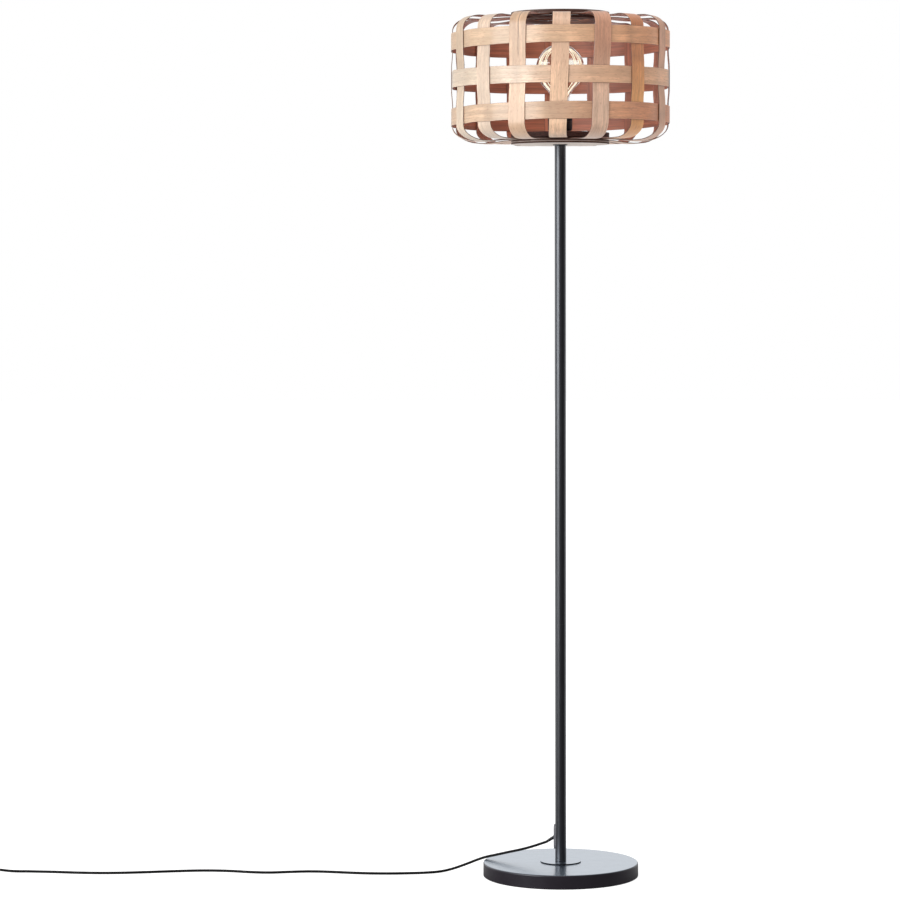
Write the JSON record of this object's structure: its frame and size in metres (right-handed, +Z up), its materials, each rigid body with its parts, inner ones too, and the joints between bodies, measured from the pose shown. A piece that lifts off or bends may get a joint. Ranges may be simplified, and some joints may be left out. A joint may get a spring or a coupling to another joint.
{
  "type": "woven bamboo floor lamp",
  "caption": "Floor lamp with a round weighted base, a slim black pole and a drum shade woven of wide flat bamboo strips round a clear globe bulb, with a foot switch and plug on its cord.",
  "frame": {"origin": "centre of the base's underside, on the floor", "axes": "+Z up along the pole; the cord leaves the pole towards -X, as seen from the front, -Y"},
  "size_m": [1.3042, 0.3522, 1.4002],
  "materials": {
    "black_paint": "satin black powder coat",
    "black_plastic": "moulded, matt",
    "grey_plastic": "moulded, matt",
    "felt": "dark felt",
    "iron": "as cast",
    "steel": "plated",
    "brass": "plain",
    "bamboo": "shaved bamboo, unvarnished",
    "bamboo_dark": "dark bamboo board",
    "plywood": "pale board with a dark edge",
    "ceramic": "glazed ceramic insulator",
    "clear_glass": "clear, slightly warm",
    "filament": "warm phosphor coating",
    "cord": "black flex"
  },
  "bodies": {
    "lamp": {"band_bottom": "bamboo", "band_middle": "bamboo", "band_top": "bamboo", "base_bolt": "steel", "base_cover": "black_paint", "base_pad": "felt", "base_weight": "iron", "collar_plate": "black_paint", "cord_coil": "cord", "cord_run": "cord", "holder_base": "black_plastic", "holder_contact": "brass", "holder_core": "ceramic", "holder_nut": "steel", "holder_shell": "black_plastic", "holder_socket": "brass", "inner_flex": "cord", "outlet_boot": "black_plastic", "outlet_plate": "grey_plastic", "plug_body": "black_plastic", "plug_pin_far": "steel", "plug_pin_near": "steel", "pole_coupling_1": "steel", "pole_coupling_2": "steel", "pole_flange": "black_paint", "pole_foot_insert": "steel", "pole_head_insert": "steel", "pole_lower": "black_paint", "pole_middle": "black_paint", "pole_upper": "black_paint", "shade_disc_inner": "bamboo_dark", "shade_disc_outer": "plywood", "shade_nipple": "steel", "shade_ring_inner": "bamboo_dark", "shade_ring_outer": "bamboo_dark", "strip_01": "bamboo", "strip_02": "bamboo", "strip_03": "bamboo", "strip_04": "bamboo", "strip_05": "bamboo", "strip_06": "bamboo", "strip_07": "bamboo", "strip_08": "bamboo", "strip_09": "bamboo", "strip_10": "bamboo", "strip_11": "bamboo", "strip_12": "bamboo", "strip_13": "bamboo", "strip_14": "bamboo", "strip_15": "bamboo", "strip_16": "bamboo", "switch_base": "black_plastic", "switch_core": "ceramic", "switch_cover": "black_plastic"},
    "bulb_contact": {"bulb_tip": "black_plastic"},
    "bulb": {"bulb_cap": "steel", "bulb_glass": "clear_glass", "bulb_stem": "clear_glass", "bulb_filament": "filament"},
    "button": {"switch_button": "grey_plastic"}
  },
  "joints": [
    {"name": "bulb_lift", "type": "slide", "parent": "lamp", "child": "bulb_contact", "axis": [0, 0, 1], "range_m": [0, 0.0146]},
    {"name": "bulb_turn", "type": "hinge", "parent": "bulb_contact", "child": "bulb", "pos_m": [0, 0, 1.3], "axis": [0, 0, 1], "range_deg": [0, 1440]},
    {"name": "switch_press", "type": "slide", "parent": "lamp", "child": "button", "axis": [0, 0, -1], "range_m": [0, 0.003], "stiffness_N_per_m": 400, "springref_m": -0.001}
  ],
  "couplings": [
    {"joint": "bulb_lift", "follows": "bulb_turn", "m_per_rad": 0.00057773}
  ]
}
